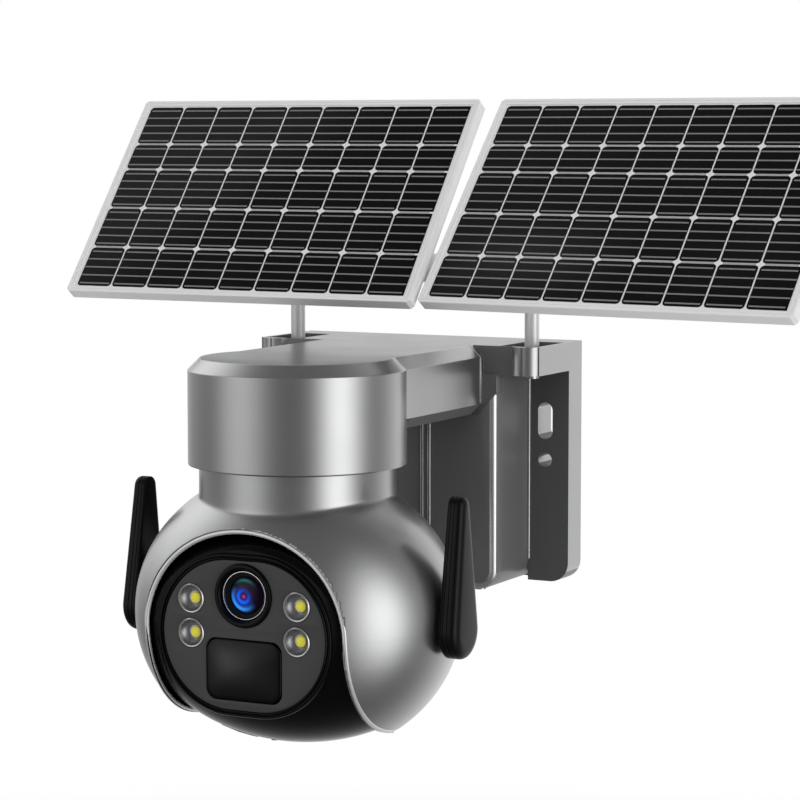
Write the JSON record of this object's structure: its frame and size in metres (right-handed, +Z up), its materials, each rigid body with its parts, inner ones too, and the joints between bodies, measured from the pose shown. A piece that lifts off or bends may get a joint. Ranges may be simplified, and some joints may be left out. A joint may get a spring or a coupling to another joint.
{
  "type": "solar security camera",
  "caption": "Wall-bracket security camera with a pan and tilt head, face lamps, a motion window, folding antennas and two aimable solar panels above the bracket.",
  "frame": {"origin": "centre of the bracket's flat wall face", "axes": "+Y into the wall, +Z up, +X to the right when facing the wall; the camera looks along -Y"},
  "size_m": [0.3391, 0.1709, 0.2473],
  "materials": {
    "grey_shell": "satin metallic grey",
    "dark_grey_case": "satin dark grey",
    "gloss_black": "glossy black moulding",
    "face_grey": "matt dark grey",
    "black_plastic": "satin black",
    "white_plastic": "natural acetal",
    "panel_frame": "satin silver frame",
    "solar_cells": "cells under clear cover",
    "support_metal": "satin silver",
    "steel": "plain steel",
    "board_green": "circuit board",
    "cell_wrap": "cell sleeve",
    "lens_blue": "coated lens",
    "clear_dome": "clear lamp dome",
    "lamp_yellow": "lamp phosphor",
    "reflector": "bright cup",
    "rubber_black": "soft rubber"
  },
  "bodies": {
    "bracket": {"wall_plate": "dark_grey_case", "battery_box": "dark_grey_case", "battery_cover": "dark_grey_case", "arm_housing": "grey_shell", "arm_base_cover": "dark_grey_case", "drum_base": "dark_grey_case", "pan_bearing": "white_plastic", "pan_motor": "steel", "battery_cells": "cell_wrap", "charge_board": "board_green", "charge_inlet": "rubber_black", "case_screws": "steel", "support_posts": "support_metal", "post_screws": "steel", "cross_rail": "support_metal", "rail_caps": "black_plastic", "rail_hubs": "support_metal"},
    "pan_pinion_body": {"pan_pinion": "white_plastic"},
    "yoke": {"pan_spindle": "dark_grey_case", "pan_gear": "white_plastic", "pan_collar": "steel", "yoke_shell": "grey_shell", "cheek_plates": "black_plastic", "tilt_bushes": "white_plastic", "tilt_motor": "steel", "main_board": "board_green", "antenna_hubs": "black_plastic"},
    "tilt_pinion_body": {"tilt_pinion": "white_plastic"},
    "left_antenna_body": {"left_antenna": "black_plastic"},
    "right_antenna_body": {"right_antenna": "black_plastic"},
    "camera": {"ball_front": "gloss_black", "ball_rear": "gloss_black", "tilt_shafts": "steel", "tilt_gear": "white_plastic", "bezel_ring": "gloss_black", "face_plate": "face_grey", "lens_ring": "gloss_black", "lens_glass": "lens_blue", "lens_barrel": "black_plastic", "sensor_board": "board_green", "lamp_board": "black_plastic", "lamp_cups": "reflector", "lamp_domes": "clear_dome", "lamp_chips": "lamp_yellow", "motion_window": "gloss_black", "motion_sensor": "steel", "speaker": "black_plastic", "card_board": "board_green"},
    "card_flap_body": {"card_flap": "rubber_black"},
    "reset_button_body": {"reset_button": "black_plastic"},
    "left_swivel_body": {"left_swivel": "black_plastic"},
    "left_panel": {"left_panel_frame": "panel_frame", "left_cell_sheet": "solar_cells", "left_bracket": "support_metal", "left_box": "black_plastic"},
    "right_swivel_body": {"right_swivel": "black_plastic"},
    "right_panel": {"right_panel_frame": "panel_frame", "right_cell_sheet": "solar_cells", "right_bracket": "support_metal", "right_box": "black_plastic"}
  },
  "joints": [
    {"name": "pan", "type": "hinge", "parent": "bracket", "child": "yoke", "pos_m": [0, -0.1276, 0], "axis": [0, 0, 1], "range_deg": [-175, 175]},
    {"name": "pan_pinion_spin", "type": "hinge", "parent": "bracket", "child": "pan_pinion_body", "pos_m": [0, -0.0971, 0.03], "axis": [0, 0, 1], "range_deg": [-660, 660]},
    {"name": "tilt", "type": "hinge", "parent": "yoke", "child": "camera", "pos_m": [0, -0.1276, -0.048], "axis": [1, 0, 0], "range_deg": [-12, 85]},
    {"name": "tilt_pinion_spin", "type": "hinge", "parent": "yoke", "child": "tilt_pinion_body", "pos_m": [0.047, -0.1132, -0.048], "axis": [1, 0, 0], "range_deg": [-175, 30]},
    {"name": "left_antenna_fold", "type": "hinge", "parent": "yoke", "child": "left_antenna_body", "pos_m": [-0.0697, -0.1291, -0.05], "axis": [1, 0, 0], "range_deg": [-38, 95]},
    {"name": "right_antenna_fold", "type": "hinge", "parent": "yoke", "child": "right_antenna_body", "pos_m": [0.0697, -0.1291, -0.05], "axis": [1, 0, 0], "range_deg": [-38, 95]},
    {"name": "card_flap_open", "type": "hinge", "parent": "camera", "child": "card_flap_body", "pos_m": [-0.019, -0.1341, -0.09622], "axis": [0.978, 0, -0.2086], "range_deg": [0, 60]},
    {"name": "reset_press", "type": "slide", "parent": "camera", "child": "reset_button_body", "axis": [0, 0, 1], "range_m": [0, 0.0008], "stiffness_N_per_m": 300, "springref_m": -0.0005},
    {"name": "left_panel_swivel", "type": "hinge", "parent": "bracket", "child": "left_swivel_body", "pos_m": [-0.0559, -0.0361, 0.1], "axis": [0, 0, 1], "range_deg": [-8, 0]},
    {"name": "left_panel_tilt", "type": "hinge", "parent": "left_swivel_body", "child": "left_panel", "pos_m": [-0.0559, -0.0361, 0.1], "axis": [0.9991, -0.0419, 0], "range_deg": [-15, 20]},
    {"name": "right_panel_swivel", "type": "hinge", "parent": "bracket", "child": "right_swivel_body", "pos_m": [0.114, -0.0482, 0.1], "axis": [0, 0, 1], "range_deg": [0, 8]},
    {"name": "right_panel_tilt", "type": "hinge", "parent": "right_swivel_body", "child": "right_panel", "pos_m": [0.114, -0.0482, 0.1], "axis": [0.9893, -0.1461, 0], "range_deg": [-15, 20]}
  ],
  "couplings": [
    {"joint": "pan_pinion_spin", "follows": "pan", "ratio": -3.6923},
    {"joint": "tilt_pinion_spin", "follows": "tilt", "ratio": -2}
  ]
}
